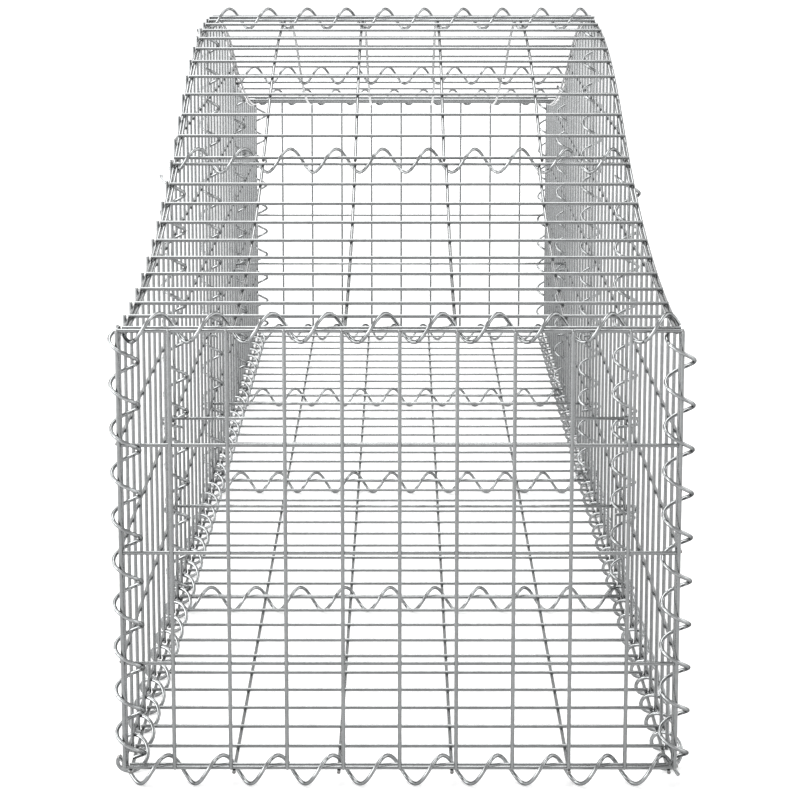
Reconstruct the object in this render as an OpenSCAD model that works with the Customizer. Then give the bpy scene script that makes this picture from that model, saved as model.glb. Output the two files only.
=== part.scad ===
// Arched gabion basket: four bays of welded wire mesh, laced edge to edge with wire spirals.
// Width runs along X, length along Y, height along Z. The origin is on the ground under the middle.

/* [Overall size] */
// Number of bays along the length
bays = 4; // [4]
// Length of one bay, from seam to seam
bay_length = 496; // [450:1:550]
// Width over the upright edge wires of the two side walls
basket_width = 487.5; // [440:0.5:540]
// Height of the roof mesh above the floor mesh at the two ends
end_height = 397.5; // [360:0.5:420]
// How much higher the crown of the arch is than its ends
arch_rise = 198; // [150:1:220]
// Radius of the hollow curve that starts the arch at each end
foot_radius = 1540; // [1500:10:1650]

/* [Mesh] */
// Diameter of the mesh wire
wire_d = 3.5; // [3:0.1:4]
// Distance between axes of two wires where they are welded
weld_step = 3; // [2.8:0.1:3.1]
// Spacing of the close wires of every mesh
close_pitch = 50; // [50]
// Heights of the rungs of the upright walls above the floor mesh
rung_heights = [97, 198, 295, 394, 493]; // [any rising list]
// Places across the basket of the inner long wires of the floor meshes
floor_long_x = [-147.5, -54.3, 46.4, 150.7]; // [any rising list]
// The same for the two roof meshes at the ends
end_roof_long_x = [-146.2, -48.1, 49, 147.6]; // [any rising list]
// The same for the two roof meshes in the middle
mid_roof_long_x = [-145.8, -47.9, 46.6, 150.9]; // [any rising list]
// Faces of a straight wire
wire_sides = 6; // [6:2:12]

/* [Lacing spirals] */
// Diameter of the spiral wire
spiral_wire_d = 3.5; // [3:0.1:4]
// Mean diameter of a spiral's turns
spiral_d = 24.8; // [22:0.1:28]
// Pitch of the spirals that run across the basket
cross_pitch = 49; // [45:0.5:52]
// Pitch of the spirals that stand up along corners and side seams
upright_pitch = 39.6; // [36:0.1:45]
// Pitch of the spirals along the two long floor edges
long_pitch = 49.5; // [45:0.5:52]
// Place across the basket where a turn of the floor's spirals tops out
floor_crest_x = -13.3; // [-25:0.1:25]
// The same for the front top spiral, the back top spiral and the three between the roof panels
front_top_crest_x = -13.6; // [-25:0.1:25]
back_top_crest_x = -12.5; // [-25:0.1:25]
roof_crest_x = -19.8; // [-25:0.1:25]
// Height above the floor mesh at which a turn of the corner spirals reaches furthest to the right
corner_tip = 290; // [270:1:310]
// The same for the spirals of the side seams
seam_tip = 287; // [270:1:310]
// Straight steps in one turn of a spiral
turn_steps = 8; // [6:1:12]
// Faces round the wire of a spiral
spiral_sides = 3; // [3:1:6]

/* [Tie wires] */
// Mean radius of the hook at each end of a tie wire
hook_radius = 3.5; // [3.5:0.1:5]
// Distance from the rung to the middle of the hook's bend
hook_offset = 7; // [5:0.5:9]
// Length of a hook's returning leg
hook_return = 20; // [15:1:35]
// Slope of the returning leg, in degrees
hook_slope = 8; // [0:1:15]

/* [Hidden] */

// Wires. A straight wire is a prism with the cross-section area of the round one.
wire_r = wire_d / 2;
prism_r = wire_d * sqrt(PI / (2 * wire_sides * sin(360 / wire_sides)));
spiral_r = spiral_d / 2;
// The corners of a spiral's path stand out, so that its flats and corners average the true radius.
spiral_path_r = spiral_r * 2 / (1 + cos(180 / turn_steps));
spiral_section_r = spiral_wire_d * sqrt(PI / (2 * spiral_sides * sin(360 / spiral_sides)));

// Heights. The basket stands on the lowest turns of the spirals round its floor.
// Spirals run a little below the floor's cross wires and a little above the roof's.
spiral_drop = 2.7;
eave_spiral_rise = 1.1;
roof_spiral_rise = 2;
spiral_floor_z = spiral_path_r + spiral_section_r * cos(180 / spiral_sides);
floor_z = spiral_floor_z + spiral_drop;
eave_z = floor_z + end_height;

// Plan. Neighbouring panels leave a narrow seam, which a spiral laces up.
seam_gap = 4;
roof_seam_gap = 7;
half_length = bays * bay_length / 2 - seam_gap / 2;
panel_length = bay_length - seam_gap;
side_x = basket_width / 2;
side_rung_x = side_x + weld_step;
floor_edge_x = side_x - 7.5;
floor_end_x = side_x - 2.5;
end_stub = 4;
// A wall's uprights reach below the floor's cross wires.
side_foot_drop = 3.5;
// The roof and the arched wires of both walls sit a little to the right: the left arched wire
// is welded inside its uprights, which stand up past it, and the right one caps its uprights.
roof_shift = weld_step / 2;
side_top_x = side_x - roof_shift;
side_top_drop = weld_step + 0.3;
left_upright_rise = 3.4;
roof_edge_x = side_top_x - 3.7;
roof_end_x = side_top_x + 0.25;
// A wall's rung stops where the arch comes this close above it.
rung_headroom = 14;

// The end panels stand on the ends of the floor's long wires.
end_upright_y = half_length + 10.7;
end_rung_y = end_upright_y - weld_step;
end_edge_x = side_x + 0.75;
end_rung_stub = 1.5;
end_bottom_z = floor_z + 0.3;
end_top_z = eave_z - 1;

// Arch: a hollow foot curve at each end runs smoothly into the crown curve.
arch_angle = 2 * atan(arch_rise / half_length);
crown_radius = half_length / sin(arch_angle) - foot_radius;
foot_centre_z = eave_z + foot_radius;
crown_centre_z = eave_z + arch_rise - crown_radius;
foot_arc = foot_radius * arch_angle * PI / 180;
arc_facets = 720;
// Like shingles, the front edge of a roof panel lies over the back edge of the one before it.
roof_lap = 3.5;
lap_angle = asin(roof_lap / panel_length);

// Height at a distance y along the basket of a wire that runs "drop" below the roof's cross wires
function arch_z(y, drop = 0) =
    let (a = abs(y), bend = (crown_radius - drop) * sin(arch_angle))
    a < bend ? crown_centre_z + sqrt(pow(crown_radius - drop, 2) - a * a)
             : foot_centre_z - sqrt(pow(foot_radius + drop, 2) - pow(half_length - a, 2));
// Length along the arch from its end, at a distance y from the middle
function arch_s(y) =
    let (a = abs(y), bend = crown_radius * sin(arch_angle))
    a > bend ? foot_radius * asin((half_length - a) / foot_radius) * PI / 180
             : foot_arc + crown_radius * (arch_angle - asin(a / crown_radius)) * PI / 180;
// Distance from the middle at a length s along the arch
function arch_y(s) =
    s < foot_arc ? half_length - foot_radius * sin(s / foot_radius * 180 / PI)
                 : crown_radius * sin(arch_angle - (s - foot_arc) / crown_radius * 180 / PI);
// Distance from the middle where a wire that runs "drop" below the roof has the height z
function arch_y_at(z, drop) =
    let (a = crown_radius - drop, b = foot_radius + drop)
    z > arch_z(a * sin(arch_angle), drop) ? sqrt(a * a - pow(z - crown_centre_z, 2))
                                          : half_length - sqrt(b * b - pow(foot_centre_z - z, 2));

// Straight wires along each axis, from one end to the other
module wire_x(x0, x1, y, z) {
    translate([x0, y, z])
        rotate([0, 90, 0])
            rotate(30)
                cylinder(r = prism_r, h = x1 - x0, $fn = wire_sides);
}
module wire_y(x, y0, y1, z) {
    translate([x, y0, z])
        rotate([-90, 0, 0])
            cylinder(r = prism_r, h = y1 - y0, $fn = wire_sides);
}
module wire_z(x, y, z0, z1, turn = 0) {
    translate([x, y, z0])
        rotate(turn)
            cylinder(r = prism_r, h = z1 - z0, $fn = wire_sides);
}

// Arc in the plane of Y and Z, between two angles about its centre
module wire_arc(x, cy, cz, radius, a0, a1) {
    translate([x, cy, cz])
        rotate([90, 0, 90])
            rotate(a0)
                rotate_extrude(angle = a1 - a0, $fn = arc_facets)
                    translate([radius, 0])
                        rotate(30)
                            circle(r = prism_r, $fn = wire_sides);
}

// Wire that follows the arch over the front half of the basket, from y0 to y1, both negative
module arch_wire(x, y0, y1, drop) {
    foot_r = foot_radius + drop;
    crown_r = crown_radius - drop;
    bend = -crown_r * sin(arch_angle);
    join = 0.02;
    if (y0 < bend)
        wire_arc(x, -half_length, foot_centre_z, foot_r,
                 asin((y0 + half_length) / foot_r) - 90,
                 asin((min(y1, bend) + half_length) / foot_r) - 90 + (y1 > bend ? join : 0));
    if (y1 > bend)
        wire_arc(x, 0, crown_centre_z, crown_r,
                 90 - asin(y1 / crown_r), 90 - asin(max(y0, bend) / crown_r));
}

// Mirrors what follows to the back half, or leaves it in front
module in_half(back) {
    if (back) mirror([0, 1, 0]) children();
    else children();
}

// One bay's y limits in the front half: the outer bay or the bay beside the middle
function bay_y0(outer) = outer ? -half_length : -bay_length + seam_gap / 2;
function bay_y1(outer) = outer ? -bay_length - seam_gap / 2 : -seam_gap / 2;
// The close wires of a bay: one at each edge and the rest centred between them
function bay_wires(y0, y1) =
    let (n = floor((y1 - y0 - close_pitch / 2) / close_pitch), m = (y0 + y1) / 2)
    concat([y0], [for (k = [0 : n - 1]) m + (k - (n - 1) / 2) * close_pitch], [y1]);

module floor_panel(outer, back) {
    y0 = bay_y0(outer);
    y1 = bay_y1(outer);
    color([0.62, 0.63, 0.64])
        in_half(back) {
            for (y = bay_wires(y0, y1))
                wire_x(-floor_end_x, floor_end_x, y, floor_z);
            for (x = [-floor_edge_x, each floor_long_x, floor_edge_x])
                wire_y(x, y0 - (outer ? end_stub : wire_r), y1 + wire_r,
                       floor_z - weld_step);
        }
}

// side is -1 on the left and 1 on the right
module side_panel(side, outer, back) {
    y0 = bay_y0(outer);
    y1 = bay_y1(outer);
    foot_z = floor_z - side_foot_drop;
    drop = side_top_drop;
    top_x = roof_shift + side * side_top_x;
    color([0.6, 0.61, 0.62])
        in_half(back) {
            for (y = bay_wires(y0, y1))
                wire_z(side * side_x, y, foot_z,
                       side < 0 ? arch_z(y) + left_upright_rise : arch_z(y, drop), 30);
            wire_y(side * side_rung_x, y0 - (outer ? end_stub : wire_r), y1 + wire_r, floor_z);
            for (h = rung_heights) {
                top = floor_z + h + rung_headroom;
                if (top < arch_z(y1, drop)) {
                    start = top < arch_z(y0, drop) ? y0 - (outer ? end_stub : wire_r)
                                                   : -arch_y_at(top, drop);
                    wire_y(side * side_rung_x, start, y1 + wire_r, floor_z + h);
                }
            }
            arch_wire(top_x, y0 - wire_r, y1 + (outer ? wire_r : 0), drop);
        }
}

// Tilts what follows about one of its edges, so that its other edge lies over the panel before
module shingled(y, angle) {
    translate([0, y, arch_z(y)])
        rotate([angle, 0, 0])
            translate([0, -y, -arch_z(y)])
                children();
}

// The front panel isn't raised. The others have their front edge raised, which is the one
// further from the middle in front of it (the second panel) and the nearer one behind it.
module roof_panel(outer, back) {
    gap = roof_seam_gap / 2;
    y0 = outer ? -half_length : -bay_length + gap;
    y1 = outer ? -bay_length - gap : -gap;
    s0 = arch_s(y0);
    s1 = arch_s(y1);
    inner_x = outer ? end_roof_long_x : mid_roof_long_x;
    long_x = [roof_shift - roof_edge_x, each inner_x, roof_shift + roof_edge_x];
    color([0.66, 0.67, 0.68])
        in_half(back)
            shingled(back ? y0 : y1, back ? lap_angle : outer ? 0 : -lap_angle) {
                for (s = bay_wires(s0, s1))
                    wire_x(roof_shift - roof_end_x, roof_shift + roof_end_x,
                           -arch_y(s), arch_z(arch_y(s)));
                for (x = long_x) {
                    arch_wire(x, y0, y1 + (outer ? wire_r : 0), weld_step);
                    if (outer) wire_y(x, y0 - end_stub, y0 + 0.5, eave_z - weld_step);
                }
            }
}

module end_panel(back) {
    color([0.62, 0.63, 0.64])
        in_half(back) {
            xs = concat([-end_edge_x], [for (k = [-4 : 4]) k * close_pitch], [end_edge_x]);
            for (x = xs)
                wire_z(x, -end_upright_y, end_bottom_z - wire_r, end_top_z);
            for (z = [end_bottom_z, for (k = [0 : 2]) floor_z + rung_heights[k], end_top_z])
                wire_x(-end_edge_x - end_rung_stub, end_edge_x + end_rung_stub, -end_rung_y, z);
        }
}

// Left-hand spiral of n straight steps along +Z from 0. "phase" is the angle of its start.
module spiral(n, pitch, phase) {
    step = pitch / turn_steps;
    lean = atan(pitch / (2 * PI * spiral_r));
    points = [
        for (i = [0 : n])
            let (a = phase - 360 * i / turn_steps,
                 out = [cos(a), sin(a), 0],
                 aside = [sin(a) * sin(lean), -cos(a) * sin(lean), -cos(lean)])
            for (k = [0 : spiral_sides - 1])
                let (q = 180 + 360 * k / spiral_sides)
                spiral_path_r * out + [0, 0, i * step]
                    + spiral_section_r * (cos(q) * out + sin(q) * aside)
    ];
    polyhedron(points, spiral_faces(n));
}
function spiral_faces(n) =
    let (m = spiral_sides)
    concat(
        [[for (k = [0 : m - 1]) k]],
        [for (i = [0 : n - 1]) for (k = [0 : m - 1])
            let (a = i * m + k, b = i * m + (k + 1) % m)
            each [[a, a + m, b], [b, a + m, b + m]]],
        [[for (k = [m - 1 : -1 : 0]) n * m + k]]
    );

// Spiral across the basket. A turn tops out at "crest_x", and neither end goes past "reach".
module cross_spiral(y, z, crest_x, reach) {
    step = cross_pitch / turn_steps;
    before = floor((reach + crest_x) / step);
    after = floor((reach - crest_x) / step);
    color([0.7, 0.71, 0.72])
        translate([crest_x - before * step, y, z])
            rotate([0, 90, 0])
                spiral(before + after, cross_pitch, 180 + 360 * before / turn_steps);
}
// Spiral up a corner or a side seam. "tip" is the height above the floor mesh at which a turn
// reaches furthest to +X, and the spiral stops below "top".
module upright_spiral(x, y, top, tip) {
    step = upright_pitch / turn_steps;
    below = floor((tip - upright_start) / step);
    above = floor((top - floor_z - tip) / step);
    color([0.7, 0.71, 0.72])
        translate([x, y, floor_z + tip - below * step])
            spiral(below + above, upright_pitch, 360 * below / turn_steps);
}
// Spiral along a long edge of the floor, from y0
module long_spiral(x, y0, phase) {
    color([0.7, 0.71, 0.72])
        translate([x, y0, floor_z - spiral_drop])
            rotate([-90, 0, 0])
                spiral(round((long_end_y - y0) / long_pitch * turn_steps), long_pitch, phase);
}

// Makes what follows on the right, and again mirrored on the left
module both_sides() {
    children();
    mirror([1, 0, 0]) children();
}

// Tie wire across the basket: it rests on a rung of each wall and hooks round it from outside.
module tie_wire(y, rung) {
    lap = 0.4;
    bend_x = side_rung_x + hook_offset;
    color([0.7, 0.71, 0.72])
        translate([0, y, floor_z + rung_heights[rung]]) {
            wire_x(-bend_x - lap, bend_x + lap, 0, hook_radius);
            both_sides()
                translate([bend_x, 0, 0])
                    rotate([90, 0, 0])
                        rotate(hook_slope - 90) {
                            rotate_extrude(angle = 180 - hook_slope, $fn = arc_facets / 5)
                                translate([hook_radius, 0])
                                    circle(r = prism_r, $fn = wire_sides);
                            translate([hook_radius, lap, 0])
                                rotate([90, 0, 0])
                                    rotate(30)
                                        cylinder(r = prism_r, h = hook_return + lap, $fn = wire_sides);
                        }
        }
}

seam_y = [for (k = [1 : bays - 1]) (k - bays / 2) * bay_length];
corner_y = half_length + 4.7;
left_corner_x = -239.2;
right_corner_x = 243.4;
seam_spiral_x = side_x - 1.5;
// A side seam's spiral ends below the one that crosses the roof above it.
seam_spiral_gap = 10;
upright_start = 2.5;
floor_reach = 252.5;
roof_reach = 247.5;
left_long_x = -241;
right_long_x = 244;
left_long_y = -960;
right_long_y = -979;
long_end_y = 970;
left_long_phase = 45;
right_long_phase = -135;
// The lower tie wire at each seam passes behind its upright wires and the upper one in front.
tie_rungs = [0, 1];
tie_offset = [6, -6];

end_panel(false);  // front_end_panel
end_panel(true);  // back_end_panel
floor_panel(true, false);  // floor_panel_1
floor_panel(false, false);  // floor_panel_2
floor_panel(false, true);  // floor_panel_3
floor_panel(true, true);  // floor_panel_4
side_panel(-1, true, false);  // left_side_panel_1
side_panel(-1, false, false);  // left_side_panel_2
side_panel(-1, false, true);  // left_side_panel_3
side_panel(-1, true, true);  // left_side_panel_4
side_panel(1, true, false);  // right_side_panel_1
side_panel(1, false, false);  // right_side_panel_2
side_panel(1, false, true);  // right_side_panel_3
side_panel(1, true, true);  // right_side_panel_4
roof_panel(true, false);  // roof_panel_1
roof_panel(false, false);  // roof_panel_2
roof_panel(false, true);  // roof_panel_3
roof_panel(true, true);  // roof_panel_4
cross_spiral(-corner_y, floor_z - spiral_drop, floor_crest_x, floor_reach);  // front_bottom_spiral
cross_spiral(-corner_y, eave_z + eave_spiral_rise, front_top_crest_x, roof_reach);  // front_top_spiral
cross_spiral(corner_y, floor_z - spiral_drop, floor_crest_x, floor_reach);  // back_bottom_spiral
cross_spiral(corner_y, eave_z + eave_spiral_rise, back_top_crest_x, roof_reach);  // back_top_spiral
upright_spiral(left_corner_x, -corner_y, eave_z, corner_tip);  // front_left_corner_spiral
upright_spiral(right_corner_x, -corner_y, eave_z, corner_tip);  // front_right_corner_spiral
upright_spiral(left_corner_x, corner_y, eave_z, corner_tip);  // back_left_corner_spiral
upright_spiral(right_corner_x, corner_y, eave_z, corner_tip);  // back_right_corner_spiral
long_spiral(left_long_x, left_long_y, left_long_phase);  // left_floor_edge_spiral
long_spiral(right_long_x, right_long_y, right_long_phase);  // right_floor_edge_spiral
for (k = [0 : bays - 2]) {
    top_z = arch_z(seam_y[k]);
    cross_spiral(seam_y[k], floor_z - spiral_drop, floor_crest_x, floor_reach);
    cross_spiral(seam_y[k], top_z + roof_spiral_rise, roof_crest_x, roof_reach);
    upright_spiral(-seam_spiral_x, seam_y[k], top_z - seam_spiral_gap, seam_tip);
    upright_spiral(seam_spiral_x, seam_y[k], top_z - seam_spiral_gap, seam_tip);
    for (t = [0, 1]) tie_wire(seam_y[k] + tie_offset[t], tie_rungs[t]);
}
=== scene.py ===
# %% [markdown]
# # An arched gabion basket, wire by wire
# A gabion is a basket of welded wire mesh.
# It stands on the ground, is filled with stone and then laced shut.
# This one is four bays long, and its roof mesh rises in an arch.
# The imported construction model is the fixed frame: it says where every panel, spiral and tie is.
# Its wires are plain prisms, so each is drawn again here as a round, cut and galvanised wire.

import math
import time

import bmesh
import bpy
from mathutils import Matrix, Vector


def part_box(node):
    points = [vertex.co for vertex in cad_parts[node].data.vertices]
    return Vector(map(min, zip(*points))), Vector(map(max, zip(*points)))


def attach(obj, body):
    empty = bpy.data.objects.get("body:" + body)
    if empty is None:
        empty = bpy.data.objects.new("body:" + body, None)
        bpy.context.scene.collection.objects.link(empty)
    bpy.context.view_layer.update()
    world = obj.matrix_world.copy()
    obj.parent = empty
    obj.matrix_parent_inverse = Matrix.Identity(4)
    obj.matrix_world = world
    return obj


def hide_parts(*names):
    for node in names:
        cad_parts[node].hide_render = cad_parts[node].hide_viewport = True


started = time.time()
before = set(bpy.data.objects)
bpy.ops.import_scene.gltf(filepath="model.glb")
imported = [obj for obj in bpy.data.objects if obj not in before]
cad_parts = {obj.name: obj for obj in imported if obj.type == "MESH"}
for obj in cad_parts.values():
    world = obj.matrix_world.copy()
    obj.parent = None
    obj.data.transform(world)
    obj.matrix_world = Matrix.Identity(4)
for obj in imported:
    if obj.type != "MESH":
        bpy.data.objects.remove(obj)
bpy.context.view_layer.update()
print("pieces in the frame:", len(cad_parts))

# %% [markdown]
# ## The measures of the basket
# The wires have to lie where the frame has them.
# So the same driving measures are used here, in metres.
# Every finished piece is compared with its own box in the frame, and the difference is printed.
# A wrong measure would show there at once.
# Only the floor's long wires and the left long spiral are meant to be longer than the frame's.

# %% Measures of the mesh
MM = 0.001
WIRE_RADIUS = 1.75 * MM
WELD_STEP = 3 * MM  # between the axes of two welded wires
BAY_LENGTH = 496 * MM
BAYS = 4
CLOSE_PITCH = 50 * MM
SEAM_GAP = 4 * MM  # between the edge wires of two neighbouring meshes
ROOF_GAP = 7 * MM  # the same in the roof
HALF_LENGTH = BAYS * BAY_LENGTH / 2 - SEAM_GAP / 2
SIDE_X = 243.75 * MM  # the side walls' uprights
FLOOR_Z = 16.951 * MM  # the floor's close wires
EAVE_Z = FLOOR_Z + 397.5 * MM  # the roof's close wires at both ends of the basket
RUNG_HEIGHTS = [h * MM for h in (97, 198, 295, 394, 493)]  # above the floor's close wires
FLOOR_LONG_X = [x * MM for x in (-147.5, -54.3, 46.4, 150.7)]
END_ROOF_LONG_X = [x * MM for x in (-146.2, -48.1, 49, 147.6)]
MID_ROOF_LONG_X = [x * MM for x in (-145.8, -47.9, 46.6, 150.9)]
# Of each bay: its number, whether it is at an end of the basket, and whether it is mirrored.
BAY_KINDS = ((1, True, False), (2, False, False), (3, False, True), (4, True, True))
print("floor mesh stands", round(FLOOR_Z / MM, 1), "mm above the ground")

# %% Measures of the arch
ARCH_RISE = 198 * MM
FOOT_RADIUS = 1540 * MM
ARCH_ANGLE = 2 * math.atan(ARCH_RISE / HALF_LENGTH)
CROWN_RADIUS = HALF_LENGTH / math.sin(ARCH_ANGLE) - FOOT_RADIUS
FOOT_CENTRE_Z = EAVE_Z + FOOT_RADIUS
CROWN_CENTRE_Z = EAVE_Z + ARCH_RISE - CROWN_RADIUS
FOOT_ARC = FOOT_RADIUS * ARCH_ANGLE


def arch_z(y, drop=0.0):
    """Height of a wire that runs "drop" below the roof's close wires, at a place y."""
    a, crown, foot = abs(y), CROWN_RADIUS - drop, FOOT_RADIUS + drop
    if a < crown * math.sin(ARCH_ANGLE):
        return CROWN_CENTRE_Z + math.sqrt(crown**2 - a**2)
    return FOOT_CENTRE_Z - math.sqrt(foot**2 - (HALF_LENGTH - a) ** 2)


def arch_s(y):
    """Length along the arch from its end to a place y."""
    a = abs(y)
    if a > CROWN_RADIUS * math.sin(ARCH_ANGLE):
        return FOOT_RADIUS * math.asin((HALF_LENGTH - a) / FOOT_RADIUS)
    return FOOT_ARC + CROWN_RADIUS * (ARCH_ANGLE - math.asin(a / CROWN_RADIUS))


def arch_y(s):
    """Distance from the middle of the basket at a length s along the arch."""
    if s < FOOT_ARC:
        return HALF_LENGTH - FOOT_RADIUS * math.sin(s / FOOT_RADIUS)
    return CROWN_RADIUS * math.sin(ARCH_ANGLE - (s - FOOT_ARC) / CROWN_RADIUS)


def arch_y_at(z, drop):
    """Distance from the middle at which a wire "drop" below the roof has the height z."""
    crown, foot = CROWN_RADIUS - drop, FOOT_RADIUS + drop
    if z > arch_z(crown * math.sin(ARCH_ANGLE), drop):
        return math.sqrt(crown**2 - (z - CROWN_CENTRE_Z) ** 2)
    return HALF_LENGTH - math.sqrt(foot**2 - (FOOT_CENTRE_Z - z) ** 2)


def arch_slope(y):
    """Angle at which the roof climbs at a place y, positive where it climbs to the back."""
    a = abs(y)
    if a < CROWN_RADIUS * math.sin(ARCH_ANGLE):
        angle = math.asin(a / CROWN_RADIUS)
    else:
        angle = math.asin((HALF_LENGTH - a) / FOOT_RADIUS)
    return angle if y < 0 else -angle


print("crown of the roof at", round(arch_z(0) / MM, 1), "mm")

# %% [markdown]
# ## Drawing a wire
# Real wire is pulled through a round die and then bent.
# A flat disc can be drawn along in the same way.
# Extruding it makes a straight run, and spinning it makes a bend.
# Spinning it with a steady shift along the axis makes a helix.
# A curve with a round bevel would give the same tube.
# The drawn wire also has true cut ends, whose rims can be rounded.

# %% Start, run and bend a wire
SECTION_SIDES = 12
UP = Vector((0, 0, 1))


def start_wire(bm, place, direction, radius=WIRE_RADIUS):
    """A disc across the wire at its first end."""
    turn = Vector(direction).to_track_quat("Z", "Y").to_matrix().to_4x4()
    made = bmesh.ops.create_circle(
        bm, cap_ends=True, radius=radius, segments=SECTION_SIDES,
        matrix=Matrix.Translation(place) @ turn,
    )
    verts = made["verts"]
    return verts + list({e for v in verts for e in v.link_edges}) + list(verts[0].link_faces)


def run_straight(bm, end, run):
    """Draws the wire straight on from its last disc."""
    made = bmesh.ops.extrude_face_region(bm, geom=end)["geom"]
    verts = [g for g in made if isinstance(g, bmesh.types.BMVert)]
    bmesh.ops.translate(bm, vec=run, verts=verts)
    return made


def run_round(bm, end, centre, axis, angle, steps, shift=(0, 0, 0)):
    """Bends the wire on round an axis; a shift at each step makes a helix."""
    made = bmesh.ops.spin(
        bm, geom=end, cent=centre, axis=axis, dvec=shift, angle=angle, steps=steps,
        use_merge=False, use_duplicate=False,
    )
    return made["geom_last"]


def straight_wire(bm, first, last):
    """A straight wire between two points."""
    first, last = Vector(first), Vector(last)
    run_straight(bm, start_wire(bm, first, last - first), last - first)


probe = bmesh.new()
straight_wire(probe, (0, 0, 0), (1, 0, 0))
closed = all(e.is_manifold for e in probe.edges)
print("a straight wire has", len(probe.faces), "faces; closed:", closed)
probe.free()

# %% [markdown]
# ## Welds and cut ends
# Mesh is welded by pressing two wires together with current running through them.
# They sink half a millimetre into each other, and some metal is squeezed out into the corners.
# A flattened sphere of few faces at each crossing gives that bead.
# The basket has about twelve hundred of them.
# The ends are cut by shears, so they are flat with a slightly rounded rim and show bare steel.

# %% Welds and ends
BEAD_RADIUS = 1.8 * MM
BEAD_HALF_HEIGHT = 0.9 * MM
BEAD_SEGMENTS, BEAD_RINGS = 8, 4
END_ROUND = 0.35 * MM
WELD, CUT = 1, 2  # material slots of every piece; slot 0 is its coat of zinc
welds_made = []


def weld(bm, place, normal=UP):
    """A bead of metal between two wires; normal points from one wire to the other."""
    turn = Vector(normal).to_track_quat("Z", "Y").to_matrix().to_4x4()
    size = Matrix.Diagonal((BEAD_RADIUS, BEAD_RADIUS, BEAD_HALF_HEIGHT, 1))
    made = bmesh.ops.create_uvsphere(
        bm, u_segments=BEAD_SEGMENTS, v_segments=BEAD_RINGS, radius=1,
        matrix=Matrix.Translation(place) @ turn @ size,
    )
    for face in {f for v in made["verts"] for f in v.link_faces}:
        face.material_index = WELD
    welds_made.append(place)


def finish_ends(bm):
    """Rounds the rim of every cut end and marks its flat face as bare steel."""
    ends = [f for f in bm.faces if len(f.verts) == SECTION_SIDES]
    rims = list({e for f in ends for e in f.edges})
    bmesh.ops.bevel(
        bm, geom=rims, offset=END_ROUND, offset_type="OFFSET", segments=1,
        profile=0.5, affect="EDGES", material=-1, clamp_overlap=True,
    )
    flats = [f for f in bm.faces if len(f.verts) == SECTION_SIDES]
    for face in flats:
        face.material_index = CUT
    return len(flats)


# %% Turn a drawing into a piece
SHARP_ANGLE = math.radians(40)
made_pieces = {}


def finish_piece(bm, name, node, mirrored=False):
    """Closes a drawing, compares it with the frame and puts it in the scene."""
    ends = finish_ends(bm)
    if mirrored:
        bmesh.ops.scale(bm, vec=(1, -1, 1), verts=bm.verts)
    bmesh.ops.recalc_face_normals(bm, faces=bm.faces)
    mesh = bpy.data.meshes.new(name)
    bm.to_mesh(mesh)
    bm.free()
    mesh.shade_smooth()
    mesh.set_sharp_from_angle(angle=SHARP_ANGLE)
    piece = bpy.data.objects.new(name, mesh)
    bpy.context.scene.collection.objects.link(piece)
    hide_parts(node)
    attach(piece, "root")
    made_pieces[name] = piece
    low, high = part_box(node)
    corners = [Vector(c) for c in piece.bound_box]
    off = 0
    for i in range(3):
        places = [c[i] for c in corners]
        off = max(off, abs(min(places) - low[i]), abs(max(places) - high[i]))
    print(f"{name}: {ends} cut ends, {len(mesh.polygons)} faces, box within {off / MM:.2f} mm")


# %% [markdown]
# ## The floor meshes
# The floor of each bay is a flat mesh: close cross wires lie on six long wires.
# The long wires of the end bays stick out, to carry the end walls.
# They do so by 7 mm more than the frame's, which end just short of the wall.
# Every mesh is drawn in the front half. A mesh of the back half is the same, mirrored.

# %% Floor meshes
FLOOR_STUB = 11 * MM
FLOOR_END_X = SIDE_X - 2.5 * MM
FLOOR_EDGE_X = SIDE_X - 4.3 * MM


def bay_limits(outer, gap=SEAM_GAP):
    """First and last y of a bay's mesh in the front half."""
    first = -HALF_LENGTH if outer else -BAY_LENGTH + gap / 2
    last = (-BAY_LENGTH if outer else 0) - gap / 2
    return first, last


def close_wires(first, last):
    """Places of the close wires: one at each edge and the rest centred between them."""
    count = int((last - first - CLOSE_PITCH / 2) // CLOSE_PITCH)
    middle = (first + last) / 2
    inner = [middle + (k - (count - 1) / 2) * CLOSE_PITCH for k in range(count)]
    return [first, *inner, last]


def floor_mesh(number, outer, mirrored):
    """The floor of one bay."""
    bm = bmesh.new()
    y0, y1 = bay_limits(outer)
    long_x = [-FLOOR_EDGE_X, *FLOOR_LONG_X, FLOOR_EDGE_X]
    long_z = FLOOR_Z - WELD_STEP
    start = y0 - (FLOOR_STUB if outer else WIRE_RADIUS)
    for x in long_x:
        straight_wire(bm, (x, start, long_z), (x, y1 + WIRE_RADIUS, long_z))
    for y in close_wires(y0, y1):
        straight_wire(bm, (-FLOOR_END_X, y, FLOOR_Z), (FLOOR_END_X, y, FLOOR_Z))
        for x in long_x:
            weld(bm, (x, y, FLOOR_Z - WELD_STEP / 2))
    finish_piece(bm, f"floor_mesh_{number}", f"floor_panel_{number}", mirrored)


for number, outer, mirrored in BAY_KINDS:
    floor_mesh(number, outer, mirrored)

# %% [markdown]
# ## The side walls
# A side wall's close wires stand upright, and its rungs run along its outer face.
# A bent edge wire follows the arch along the top, just under the roof.
# The roof and that wire sit slightly to the right of the walls.
# So on the left the wire lies inside the uprights, which stand up past it.
# On the right it caps them.
# The upper rungs start where they have room under that edge wire, or are left out.

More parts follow.
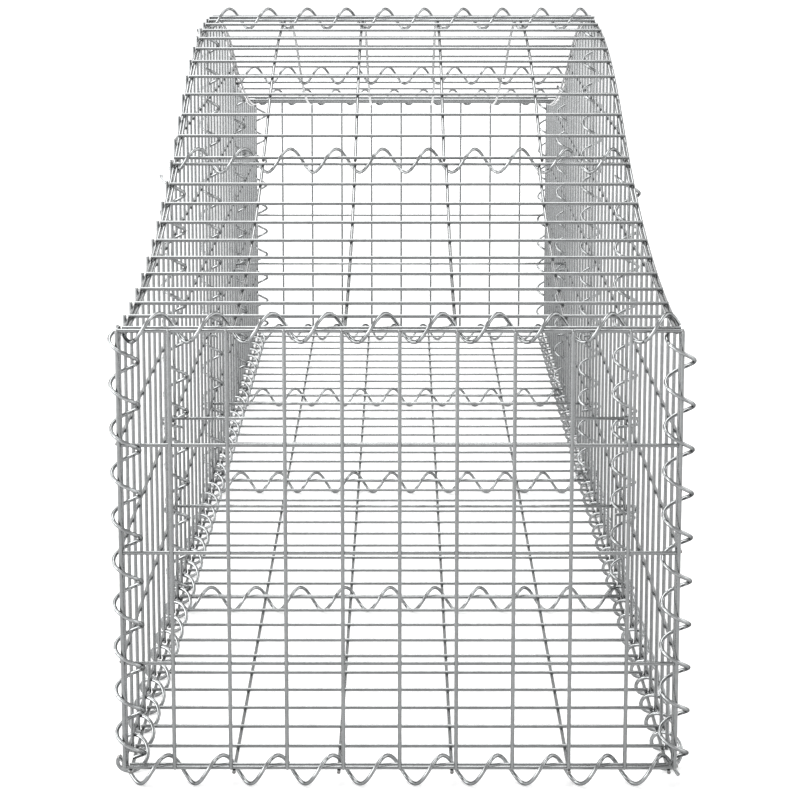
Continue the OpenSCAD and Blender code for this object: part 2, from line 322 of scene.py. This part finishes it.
# %% Side walls
SIDE_RUNG_X = SIDE_X + WELD_STEP
SIDE_STUB = 4 * MM
ROOF_SHIFT = WELD_STEP / 2  # the arched wires and the roof sit this far to the right
SIDE_TOP_X = SIDE_X - ROOF_SHIFT
SIDE_FOOT_Z = FLOOR_Z - 3.5 * MM
SIDE_DROP = WELD_STEP + 0.3 * MM  # from the roof's close wires down to the arched edge wire
LEFT_UPRIGHT_RISE = 1.9 * MM
RUNG_HEADROOM = 14 * MM
ARC_STEP = 25 * MM


def arch_wire(bm, x, y0, y1, drop, stub=0.0):
    """A long wire that follows the arch over the front half, after a straight stub."""
    foot, crown = FOOT_RADIUS + drop, CROWN_RADIUS - drop
    bend = -crown * math.sin(ARCH_ANGLE)
    slope = math.asin((y0 + HALF_LENGTH) / foot) if y0 < bend else math.asin(-y0 / crown)
    direction = Vector((0, math.cos(slope), math.sin(slope)))
    first = Vector((x, y0, arch_z(y0, drop)))
    end = start_wire(bm, first - direction * stub, direction)
    if stub:
        end = run_straight(bm, end, direction * stub)
    if y0 < bend:
        angle = math.asin((min(y1, bend) + HALF_LENGTH) / foot) - slope
        steps = math.ceil(angle * foot / ARC_STEP)
        end = run_round(bm, end, (x, -HALF_LENGTH, FOOT_CENTRE_Z), (1, 0, 0), angle, steps)
    if y1 > bend:
        angle = math.asin(-max(y0, bend) / crown) - math.asin(-y1 / crown)
        steps = math.ceil(angle * crown / ARC_STEP)
        run_round(bm, end, (x, 0, CROWN_CENTRE_Z), (1, 0, 0), -angle, steps)


def side_rungs(first, y0, y1):
    """Height and first y of each rung of a bay."""
    rungs = [(FLOOR_Z, first)]
    for height in RUNG_HEIGHTS:
        top = FLOOR_Z + height + RUNG_HEADROOM
        if top < arch_z(y1, SIDE_DROP):
            start = first if top < arch_z(y0, SIDE_DROP) else -arch_y_at(top, SIDE_DROP)
            rungs.append((FLOOR_Z + height, start))
    return rungs


def side_mesh(word, side, number, outer, mirrored):
    """One bay of the left wall, with side -1, or of the right wall, with side 1."""
    bm = bmesh.new()
    y0, y1 = bay_limits(outer)
    along = close_wires(y0, y1)
    out = Vector((side, 0, 0))
    x, rung_x, top_x = side * SIDE_X, side * SIDE_RUNG_X, ROOF_SHIFT + side * SIDE_TOP_X
    for y in along:
        top = arch_z(y) + LEFT_UPRIGHT_RISE if side < 0 else arch_z(y, SIDE_DROP)
        straight_wire(bm, (x, y, SIDE_FOOT_Z), (x, y, top))
        weld(bm, ((x + top_x) / 2, y, arch_z(y, SIDE_DROP)), out if side < 0 else UP)
    for z, start in side_rungs(y0 - (SIDE_STUB if outer else WIRE_RADIUS), y0, y1):
        straight_wire(bm, (rung_x, start, z), (rung_x, y1 + WIRE_RADIUS, z))
        for y in along:
            if y > start - WIRE_RADIUS:
                weld(bm, (side * (SIDE_X + WELD_STEP / 2), y, z), out)
    arch_wire(bm, top_x, y0 - WIRE_RADIUS, y1 + (WIRE_RADIUS if outer else 0), SIDE_DROP)
    name, node = f"{word}_wall_mesh_{number}", f"{word}_side_panel_{number}"
    finish_piece(bm, name, node, mirrored)


for word, side in (("left", -1), ("right", 1)):
    for number, outer, mirrored in BAY_KINDS:
        side_mesh(word, side, number, outer, mirrored)

# %% [markdown]
# ## The roof meshes
# The roof is the form of this basket.
# A hollow foot curve at each end runs smoothly into the round crown.
# Its long wires were bent to that line.
# Its close cross wires lie on top of them, evenly spaced along the curve.
# Two arcs that meet on one tangent give the line, so a long wire is at most two spins of a disc.
# The meshes lap like shingles: each has its front edge over the back edge of the one before.
# The first has none before it, so it isn't tilted.
# A mirrored mesh is drawn with its back edge in front.

# %% Roof meshes
ROOF_STUB = 4 * MM
ROOF_EDGE_X = SIDE_TOP_X - 3.7 * MM
ROOF_END_X = SIDE_TOP_X + 0.25 * MM
ROOF_LAP = 3.5 * MM
LAP_ANGLE = math.asin(ROOF_LAP / (BAY_LENGTH - SEAM_GAP))


def roof_mesh(number, outer, mirrored):
    """The roof of one bay, tilted about its back edge so that it laps over the one before."""
    bm = bmesh.new()
    y0, y1 = bay_limits(outer, ROOF_GAP)
    inner = END_ROOF_LONG_X if outer else MID_ROOF_LONG_X
    long_x = [ROOF_SHIFT - ROOF_EDGE_X, *inner, ROOF_SHIFT + ROOF_EDGE_X]
    last, stub = (y1 + WIRE_RADIUS, ROOF_STUB) if outer else (y1, 0)
    for x in long_x:
        arch_wire(bm, x, y0, last, WELD_STEP, stub)
    for s in close_wires(arch_s(y0), arch_s(y1)):
        y = -arch_y(s)
        z, slope = arch_z(y), arch_slope(y)
        straight_wire(bm, (ROOF_SHIFT - ROOF_END_X, y, z), (ROOF_SHIFT + ROOF_END_X, y, z))
        normal = Vector((0, -math.sin(slope), math.cos(slope)))
        for x in long_x:
            weld(bm, Vector((x, y, z)) - normal * WELD_STEP / 2, normal)
    if number > 1:
        back, angle = (y0, LAP_ANGLE) if mirrored else (y1, -LAP_ANGLE)
        tilt = Matrix.Rotation(angle, 3, "X")
        bmesh.ops.rotate(bm, cent=(0, back, arch_z(back)), matrix=tilt, verts=bm.verts)
    finish_piece(bm, f"roof_mesh_{number}", f"roof_panel_{number}", mirrored)


for number, outer, mirrored in BAY_KINDS:
    roof_mesh(number, outer, mirrored)

# %% [markdown]
# ## The end walls
# Each end wall is a flat mesh with its uprights outside and its rungs inside.
# It stands on the ends of the floor's long wires.

# %% End walls
END_UPRIGHT_Y = HALF_LENGTH + 10.7 * MM
END_RUNG_Y = END_UPRIGHT_Y - WELD_STEP
END_EDGE_X = SIDE_X + 0.75 * MM
END_RUNG_STUB = 1.5 * MM
END_BOTTOM_Z = FLOOR_Z + 0.3 * MM
END_TOP_Z = EAVE_Z - 1 * MM
END_FOOT_Z = END_BOTTOM_Z + 0.5 * MM
INNER_UPRIGHTS = 9
INNER_RUNGS = 3


def end_mesh(end, mirrored):
    """The front end wall, or mirrored the back one."""
    bm = bmesh.new()
    inner = [(k - (INNER_UPRIGHTS - 1) / 2) * CLOSE_PITCH for k in range(INNER_UPRIGHTS)]
    uprights = [-END_EDGE_X, *inner, END_EDGE_X]
    rungs = [END_BOTTOM_Z, *[FLOOR_Z + h for h in RUNG_HEIGHTS[:INNER_RUNGS]], END_TOP_Z]
    for x in uprights:
        straight_wire(bm, (x, -END_UPRIGHT_Y, END_FOOT_Z), (x, -END_UPRIGHT_Y, END_TOP_Z))
    reach = END_EDGE_X + END_RUNG_STUB
    for z in rungs:
        straight_wire(bm, (-reach, -END_RUNG_Y, z), (reach, -END_RUNG_Y, z))
        for x in uprights:
            weld(bm, (x, -(END_UPRIGHT_Y + END_RUNG_Y) / 2, z), Vector((0, 1, 0)))
    finish_piece(bm, f"{end}_end_mesh", f"{end}_end_panel", mirrored)


end_mesh("front", False)
end_mesh("back", True)
print("welds in all the meshes:", len(welds_made))

# %% [markdown]
# ## The lacing spirals
# A spiral is wound from one length of wire and screwed along a seam.
# In that way it catches the edge wires of both meshes.
# All of the spirals are left-handed, and their ends are simply cut.
# One spin with a shift along the axis draws the whole helix.
# The disc leans with the wire, so the drawn wire is round and not oval.
# The left spiral along the floor starts half a turn nearer to the front than the frame's.

# %% Winding a spiral
COIL_RADIUS = 12.4 * MM
TURN_STEPS = 24
EIGHTHS = 8  # a spiral starts and ends a whole number of eighths of a turn from its crest


def wind_spiral(bm, eighths, pitch, phase):
    """A left-handed helix up from 0, in eighths of a turn; phase is the angle of its start."""
    lean = math.atan(pitch / (2 * math.pi * COIL_RADIUS))
    place = Vector((COIL_RADIUS * math.cos(phase), COIL_RADIUS * math.sin(phase), 0))
    across = Vector((math.sin(phase), -math.cos(phase), 0))
    end = start_wire(bm, place, across * math.cos(lean) + UP * math.sin(lean))
    steps = eighths * TURN_STEPS // EIGHTHS
    angle = 2 * math.pi * eighths / EIGHTHS
    run_round(bm, end, (0, 0, 0), UP, -angle, steps, (0, 0, pitch / TURN_STEPS))


def spiral(name, eighths, pitch, phase, place):
    """Winds a spiral and lays it where it belongs, in place of the frame's spiral."""
    node = name.replace("lacing", "spiral").replace("wall", "side")
    bm = bmesh.new()
    wind_spiral(bm, eighths, pitch, phase)
    bmesh.ops.transform(bm, matrix=place, verts=bm.verts)
    finish_piece(bm, name, node)


# %% Spirals across the basket
CROSS_PITCH = 49 * MM
LOW_Z = FLOOR_Z - 2.7 * MM
TOP_Z = EAVE_Z + 1.1 * MM
ROOF_SPIRAL_RISE = 2 * MM
CORNER_Y = HALF_LENGTH + 4.7 * MM
SEAM_Y = [(k - BAYS / 2) * BAY_LENGTH for k in range(1, BAYS)]
FLOOR_REACH = 252.5 * MM
ROOF_REACH = 247.5 * MM
FLOOR_CREST_X = -13.3 * MM
ROOF_CREST_X = -19.8 * MM
FRONT_TOP_CREST_X = -13.6 * MM
BACK_TOP_CREST_X = -12.5 * MM


def cross_spiral(name, y, z, crest_x, reach):
    """A spiral from wall to wall; a turn tops out at crest_x and no end passes the reach."""
    step = CROSS_PITCH / EIGHTHS
    before = math.floor((reach + crest_x) / step)
    after = math.floor((reach - crest_x) / step)
    phase = math.pi + 2 * math.pi * before / EIGHTHS
    lie = Matrix.Rotation(math.pi / 2, 4, "Y")
    place = Matrix.Translation((crest_x - before * step, y, z)) @ lie
    spiral(name, before + after, CROSS_PITCH, phase, place)


for end, y, top_crest_x in (
    ("front", -CORNER_Y, FRONT_TOP_CREST_X), ("back", CORNER_Y, BACK_TOP_CREST_X),
):
    cross_spiral(f"{end}_bottom_lacing", y, LOW_Z, FLOOR_CREST_X, FLOOR_REACH)
    cross_spiral(f"{end}_top_lacing", y, TOP_Z, top_crest_x, ROOF_REACH)
for number, y in enumerate(SEAM_Y, 1):
    cross_spiral(f"floor_seam_lacing_{number}", y, LOW_Z, FLOOR_CREST_X, FLOOR_REACH)
    roof_z = arch_z(y) + ROOF_SPIRAL_RISE
    cross_spiral(f"roof_seam_lacing_{number}", y, roof_z, ROOF_CREST_X, ROOF_REACH)

# %% Spirals up the corners and side seams
UPRIGHT_PITCH = 39.6 * MM
UPRIGHT_START = 2.5 * MM
CORNER_TIP = 290 * MM
SEAM_TIP = 287 * MM
SEAM_SPIRAL_X = SIDE_X - 1.5 * MM
SEAM_SPIRAL_GAP = 10 * MM
CORNER_X = {"left": -239.2 * MM, "right": 243.4 * MM}


def upright_spiral(name, x, y, top, tip):
    """A spiral that stands up; a turn points right at the height "tip" above the floor mesh."""
    step = UPRIGHT_PITCH / EIGHTHS
    below = math.floor((tip - UPRIGHT_START) / step)
    above = math.floor((top - FLOOR_Z - tip) / step)
    place = Matrix.Translation((x, y, FLOOR_Z + tip - below * step))
    phase = 2 * math.pi * below / EIGHTHS
    spiral(name, below + above, UPRIGHT_PITCH, phase, place)


for end, y in (("front", -CORNER_Y), ("back", CORNER_Y)):
    for word, x in CORNER_X.items():
        upright_spiral(f"{end}_{word}_corner_lacing", x, y, EAVE_Z, CORNER_TIP)
for number, y in enumerate(SEAM_Y, 1):
    top = arch_z(y) - SEAM_SPIRAL_GAP
    for word, side in (("left", -1), ("right", 1)):
        name = f"{word}_wall_seam_lacing_{number}"
        upright_spiral(name, side * SEAM_SPIRAL_X, y, top, SEAM_TIP)

# %% Spirals along the floor's long edges
LONG_PITCH = 49.5 * MM
LONG_END_Y = 970 * MM
LONG_PHASE = math.radians(-135)
LONG_STARTS = {"left": (-241 * MM, -984.75 * MM), "right": (244 * MM, -979 * MM)}
for word, (x, start_y) in LONG_STARTS.items():
    lie = Matrix.Rotation(-math.pi / 2, 4, "X")
    place = Matrix.Translation((x, start_y, LOW_Z)) @ lie
    eighths = round((LONG_END_Y - start_y) / LONG_PITCH * EIGHTHS)
    spiral(f"{word}_floor_edge_lacing", eighths, LONG_PITCH, LONG_PHASE, place)

# %% [markdown]
# ## The cross ties
# Two ties run from wall to wall at each seam.
# They keep the walls from bulging when the basket is filled.
# A tie rests on a rung of each wall, and its end is bent down round it and tucked back in.
# The first hook, the long run and the second hook are one wire, drawn from end to end.

# %% Cross ties
HOOK_RADIUS = 3.5 * MM
HOOK_X = SIDE_RUNG_X + 7 * MM
HOOK_RETURN = 20 * MM
HOOK_SLOPE = math.radians(8)
HOOK_STEPS = 12
# Of each tie: its height above the floor mesh, and its distance behind the seam.
TIES = ((RUNG_HEIGHTS[0], 6 * MM), (RUNG_HEIGHTS[1], -6 * MM))


def draw_tie(bm, y, z):
    """One tie at a place y along the basket, round rungs of the height z."""
    inward = Vector((math.cos(HOOK_SLOPE), 0, -math.sin(HOOK_SLOPE)))
    bend = math.pi - HOOK_SLOPE
    from_top = Vector((-math.sin(bend), 0, math.cos(bend))) * HOOK_RADIUS
    tuck = Vector((-HOOK_X, y, z)) + from_top
    end = start_wire(bm, tuck + inward * HOOK_RETURN, -inward)
    end = run_straight(bm, end, -inward * HOOK_RETURN)
    end = run_round(bm, end, (-HOOK_X, y, z), (0, 1, 0), bend, HOOK_STEPS)
    end = run_straight(bm, end, (2 * HOOK_X, 0, 0))
    end = run_round(bm, end, (HOOK_X, y, z), (0, 1, 0), bend, HOOK_STEPS)
    run_straight(bm, end, Vector((-inward.x, 0, inward.z)) * HOOK_RETURN)


for number, y in enumerate(SEAM_Y, 1):
    bm = bmesh.new()
    for height, behind in TIES:
        draw_tie(bm, y + behind, FLOOR_Z + height)
    finish_piece(bm, f"cross_ties_{number}", f"tie_wire_{number}")

# %% [markdown]
# ## The zinc finish
# The wire is galvanised: drawn steel with a skin of zinc.
# New zinc is a neutral grey metal with a satin gloss.
# It has faint crystal patches, a few millimetres wide. On the spirals these patches are far lighter
# and darker, so there they are partly painted highlights and painted dark reflections, laid at
# random.
# Its tone also drifts slowly, where the bath cooled unevenly.
# The welds are duller in gloss, because the current burns the zinc, but their tone is a little
# lighter than the wire's: painted light that lifts the shade where the wires cross. A cut end shows
# bare steel.
# All of that is one pattern with other values, so it is built once as a node group.

# %% Zinc pattern as a node group
DRIFTS_PER_METRE = 14
GRAINS_PER_METRE = 1400
CRYSTALS_IN_TONE = 0.35  # their share; the rest is drift
CRYSTALS_IN_RELIEF = 0.4  # their share; the rest is grain
PATTERN_INPUTS = {
    "Place": "Vector", "Light Tone": "Color", "Dark Tone": "Color",
    "Crystals per Metre": "Float", "Low Roughness": "Float", "High Roughness": "Float",
}
PATTERN_OUTPUTS = {"Color": "Color", "Roughness": "Float", "Height": "Float"}


def build_zinc_pattern():
    """Tone, roughness and height of zinc at a place on the wire."""
    group = bpy.data.node_groups.new("zinc_pattern", "ShaderNodeTree")
    for way, sockets in (("INPUT", PATTERN_INPUTS), ("OUTPUT", PATTERN_OUTPUTS)):
        for name, kind in sockets.items():
            group.interface.new_socket(name=name, in_out=way, socket_type=f"NodeSocket{kind}")
    nodes, link = group.nodes, group.links.new
    inputs, outputs = nodes.new("NodeGroupInput"), nodes.new("NodeGroupOutput")

    drift = nodes.new("ShaderNodeTexNoise")
    drift.inputs["Scale"].default_value = DRIFTS_PER_METRE
    drift.inputs["Detail"].default_value = 2
    crystal = nodes.new("ShaderNodeTexVoronoi")
    grain = nodes.new("ShaderNodeTexNoise")
    grain.inputs["Scale"].default_value = GRAINS_PER_METRE
    grain.inputs["Detail"].default_value = 3
    for pattern in (drift, crystal, grain):
        link(inputs.outputs["Place"], pattern.inputs["Vector"])
    link(inputs.outputs["Crystals per Metre"], crystal.inputs["Scale"])

    facet = nodes.new("ShaderNodeSeparateColor")
    link(crystal.outputs["Color"], facet.inputs["Color"])
    tone = nodes.new("ShaderNodeMix")
    tone.inputs["Factor"].default_value = CRYSTALS_IN_TONE
    link(drift.outputs["Fac"], tone.inputs["A"])
    link(facet.outputs["Red"], tone.inputs["B"])

    colour = nodes.new("ShaderNodeMix")
    colour.data_type = "RGBA"
    link(tone.outputs["Result"], colour.inputs["Factor"])
    link(inputs.outputs["Dark Tone"], colour.inputs["A"])
    link(inputs.outputs["Light Tone"], colour.inputs["B"])
    link(colour.outputs["Result"], outputs.inputs["Color"])

    rough = nodes.new("ShaderNodeMapRange")
    link(tone.outputs["Result"], rough.inputs["Value"])
    link(inputs.outputs["High Roughness"], rough.inputs["To Min"])
    link(inputs.outputs["Low Roughness"], rough.inputs["To Max"])
    link(rough.outputs["Result"], outputs.inputs["Roughness"])

    height = nodes.new("ShaderNodeMix")
    height.inputs["Factor"].default_value = CRYSTALS_IN_RELIEF
    link(grain.outputs["Fac"], height.inputs["A"])
    link(facet.outputs["Green"], height.inputs["B"])
    link(height.outputs["Result"], outputs.inputs["Height"])
    return group


zinc_pattern = build_zinc_pattern()
print("the zinc pattern has", len(zinc_pattern.nodes), "nodes")

# %% Metals made from the pattern
RELIEF_HEIGHT = 0.05 * MM


def metal(name, light, dark, crystals, smooth, rough, relief, rim=1.0):
    """A metal whose tone, gloss and fine relief come from the zinc pattern.

    Its rim is what it still mirrors where the surface turns away from the eye.
    A rim below 1 darkens the edges of the wire: a painted dark outline, standing in for a dark
    reflection."""
    made = bpy.data.materials.new(name)
    made.use_nodes = True
    nodes, link = made.node_tree.nodes, made.node_tree.links.new
    shader = nodes["Principled BSDF"]
    shader.inputs["Metallic"].default_value = 1
    # Specular Tint below 1 darkens the rim of the wire: a painted dark outline, used on the
    # spirals.
    shader.inputs["Specular Tint"].default_value = (rim, rim, rim, 1)
    place = nodes.new("ShaderNodeTexCoord")
    pattern = nodes.new("ShaderNodeGroup")
    pattern.node_tree = zinc_pattern
    pattern.inputs["Light Tone"].default_value = (*light, 1)
    pattern.inputs["Dark Tone"].default_value = (*dark, 1)
    pattern.inputs["Crystals per Metre"].default_value = crystals
    pattern.inputs["Low Roughness"].default_value = smooth
    pattern.inputs["High Roughness"].default_value = rough
    bump = nodes.new("ShaderNodeBump")
    bump.inputs["Strength"].default_value = relief
    bump.inputs["Distance"].default_value = RELIEF_HEIGHT
    link(place.outputs["Object"], pattern.inputs["Place"])
    link(pattern.outputs["Color"], shader.inputs["Base Color"])
    link(pattern.outputs["Roughness"], shader.inputs["Roughness"])
    link(pattern.outputs["Height"], bump.inputs["Height"])
    link(bump.outputs["Normal"], shader.inputs["Normal"])
    return made


mesh_zinc = metal(
    "mesh_zinc", light=(0.256, 0.263, 0.265), dark=(0.182, 0.187, 0.1885),
    crystals=260, smooth=0.16, rough=0.26, relief=0.12,
)
# On the spirals the light and dark tones lie far apart: the random patches are partly zinc crystals
# and partly painted highlights and painted dark reflections.
spiral_zinc = metal(
    "spiral_zinc", light=(0.400, 0.411, 0.414), dark=(0.115, 0.118, 0.119),
    crystals=200, smooth=0.06, rough=0.14, relief=0.10, rim=0.25,
)
# The weld tone is a little lighter than the mesh zinc: painted light that lifts the shade at the
# crossings. Its higher roughness is the burnt zinc.
weld_zinc_painted_light = metal(
    "weld_zinc_painted_light", light=(0.275, 0.282, 0.284), dark=(0.205, 0.210, 0.2115),
    crystals=500, smooth=0.28, rough=0.40, relief=0.3,
)
cut_steel = metal(
    "cut_steel", light=(0.22, 0.215, 0.21), dark=(0.12, 0.118, 0.115),
    crystals=900, smooth=0.35, rough=0.50, relief=0.6,
)
for name, piece in made_pieces.items():
    coat = mesh_zinc if "mesh" in name else spiral_zinc
    for finish in (coat, weld_zinc_painted_light, cut_steel):
        piece.data.materials.append(finish)
print("finished", len(made_pieces), "pieces in 4 metals")

# %% [markdown]
# ## Studio
# Wire has to be lit by wide, soft sources, because it mirrors a thin strip of all that is round it.
# A long lamp overhead gives the bright line along the top of every wire across the basket.
# A wide lamp on the left and a weaker one at the front left light one side of the uprights.
# A faint one on the right fills the shadows that those two leave.
# The background is white to the camera and in the metal, but it hardly lights the floor.
# So the floor can take a soft shadow. Further out it glows more, and it ends in plain white.

# %% Floor and background
def by_sight(nodes, link, seen, unseen):
    """A number: "seen" for the camera and for mirrored or clear rays, else "unseen"."""
    path = nodes.new("ShaderNodeLightPath")
    most = nodes.new("ShaderNodeMath")
    most.operation = "MAXIMUM"
    link(path.outputs["Is Camera Ray"], most.inputs[0])
    link(path.outputs["Is Glossy Ray"], most.inputs[1])
    both = nodes.new("ShaderNodeMath")
    both.operation = "MAXIMUM"
    link(most.outputs[0], both.inputs[0])
    link(path.outputs["Is Transmission Ray"], both.inputs[1])
    strength = nodes.new("ShaderNodeMapRange")
    link(both.outputs[0], strength.inputs["Value"])
    strength.inputs["To Min"].default_value = unseen
    if isinstance(seen, float):
        strength.inputs["To Max"].default_value = seen
    else:
        link(seen, strength.inputs["To Max"])
    return strength.outputs["Result"]


FLOOR_SPAN = 30
NEAR_GLOW, FAR_GLOW = 0.40, 1.05
GLOW_STARTS, GLOW_ENDS = 1.3, 3.8  # metres from the middle of the basket
SKY_SEEN, SKY_LIGHT = 1.0, 0.15
bm = bmesh.new()
bmesh.ops.create_grid(bm, x_segments=1, y_segments=1, size=FLOOR_SPAN / 2)
floor_data = bpy.data.meshes.new("studio_floor")
bm.to_mesh(floor_data)
bm.free()
studio_floor = bpy.data.objects.new("studio_floor", floor_data)
bpy.context.scene.collection.objects.link(studio_floor)

floor_paint = bpy.data.materials.new("floor_paint")
floor_paint.use_nodes = True
nodes, link = floor_paint.node_tree.nodes, floor_paint.node_tree.links.new
shader = nodes["Principled BSDF"]
shader.inputs["Base Color"].default_value = (0.8, 0.8, 0.8, 1)
shader.inputs["Roughness"].default_value = 0.9
shader.inputs["Specular IOR Level"].default_value = 0
shader.inputs["Emission Color"].default_value = (1, 1, 1, 1)
place = nodes.new("ShaderNodeTexCoord")
distance = nodes.new("ShaderNodeVectorMath")
distance.operation = "LENGTH"
link(place.outputs["Object"], distance.inputs[0])
glow = nodes.new("ShaderNodeMapRange")
glow.interpolation_type = "SMOOTHSTEP"
link(distance.outputs["Value"], glow.inputs["Value"])
glow.inputs["From Min"].default_value = GLOW_STARTS
glow.inputs["From Max"].default_value = GLOW_ENDS
glow.inputs["To Min"].default_value = NEAR_GLOW
glow.inputs["To Max"].default_value = FAR_GLOW
link(by_sight(nodes, link, glow.outputs["Result"], 0.0), shader.inputs["Emission Strength"])
floor_data.materials.append(floor_paint)

world = bpy.data.worlds.new("studio_world")
world.use_nodes = True
bpy.context.scene.world = world
nodes, link = world.node_tree.nodes, world.node_tree.links.new
backdrop = nodes["Background"]
backdrop.inputs["Color"].default_value = (1, 1, 1, 1)
link(by_sight(nodes, link, SKY_SEEN, SKY_LIGHT), backdrop.inputs["Strength"])
print("floor", FLOOR_SPAN, "m wide")

# %% Soft lamps
def softbox(name, place, target, width, height, radiance, up="Y"):
    """A rectangular lamp that faces a point; its radiance is what a mirror would show.

    Its height runs upwards as nearly as it can, or with "X" its width does."""
    lamp = bpy.data.lights.new(name, "AREA")
    lamp.shape = "RECTANGLE"
    lamp.size, lamp.size_y = width, height
    lamp.energy = radiance * math.pi * width * height
    made = bpy.data.objects.new(name, lamp)
    made.location = place
    made.rotation_mode = "QUATERNION"
    made.rotation_quaternion = (Vector(place) - Vector(target)).to_track_quat("Z", up)
    bpy.context.scene.collection.objects.link(made)


softbox(
    "top_softbox", place=(-0.4, 1.3, 3.3), target=(-0.2, 1.3, 0.3),
    width=1.8, height=6.0, radiance=4.4, up="X",
)
softbox(
    "left_softbox", place=(-2.8, -0.6, 1.25), target=(0, -0.3, 0.3),
    width=4.0, height=2.4, radiance=4.2,
)
softbox(
    "front_softbox", place=(-2.7, -3.1, 1.3), target=(0, -0.6, 0.3),
    width=3.0, height=2.2, radiance=2.4,
)
softbox(
    "right_softbox", place=(2.8, -0.6, 1.25), target=(0, -0.3, 0.3),
    width=4.0, height=2.4, radiance=1.8,
)
print("four softboxes")

# %% [markdown]
# ## Camera
# The basket is seen from the front through a long lens, a little above its roof.
# The camera looks down a little, and its lens is shifted down the rest of the way.
# That keeps the uprights nearly parallel.

# %% Camera
CAMERA_DOWN = math.radians(9.318)
CAMERA_TURN = math.radians(0.065)
camera_data = bpy.data.cameras.new("studio_camera")
camera_data.sensor_width = 36
camera_data.lens = 108.87
camera_data.shift_y = -0.19
camera = bpy.data.objects.new("studio_camera", camera_data)
camera.location = (0.0026, -3.0488, 0.8226)
camera.rotation_euler = (math.radians(90) - CAMERA_DOWN, 0, CAMERA_TURN)
bpy.context.scene.collection.objects.link(camera)
bpy.context.scene.camera = camera
bpy.context.scene.view_settings.view_transform = "Standard"
print("camera at", [round(v, 3) for v in camera.location])

# %% Count the faces and finish
bpy.context.view_layer.update()
faces = sum(len(piece.data.polygons) for piece in made_pieces.values())
print("faces:", faces, "in", round(time.time() - started, 1), "s")
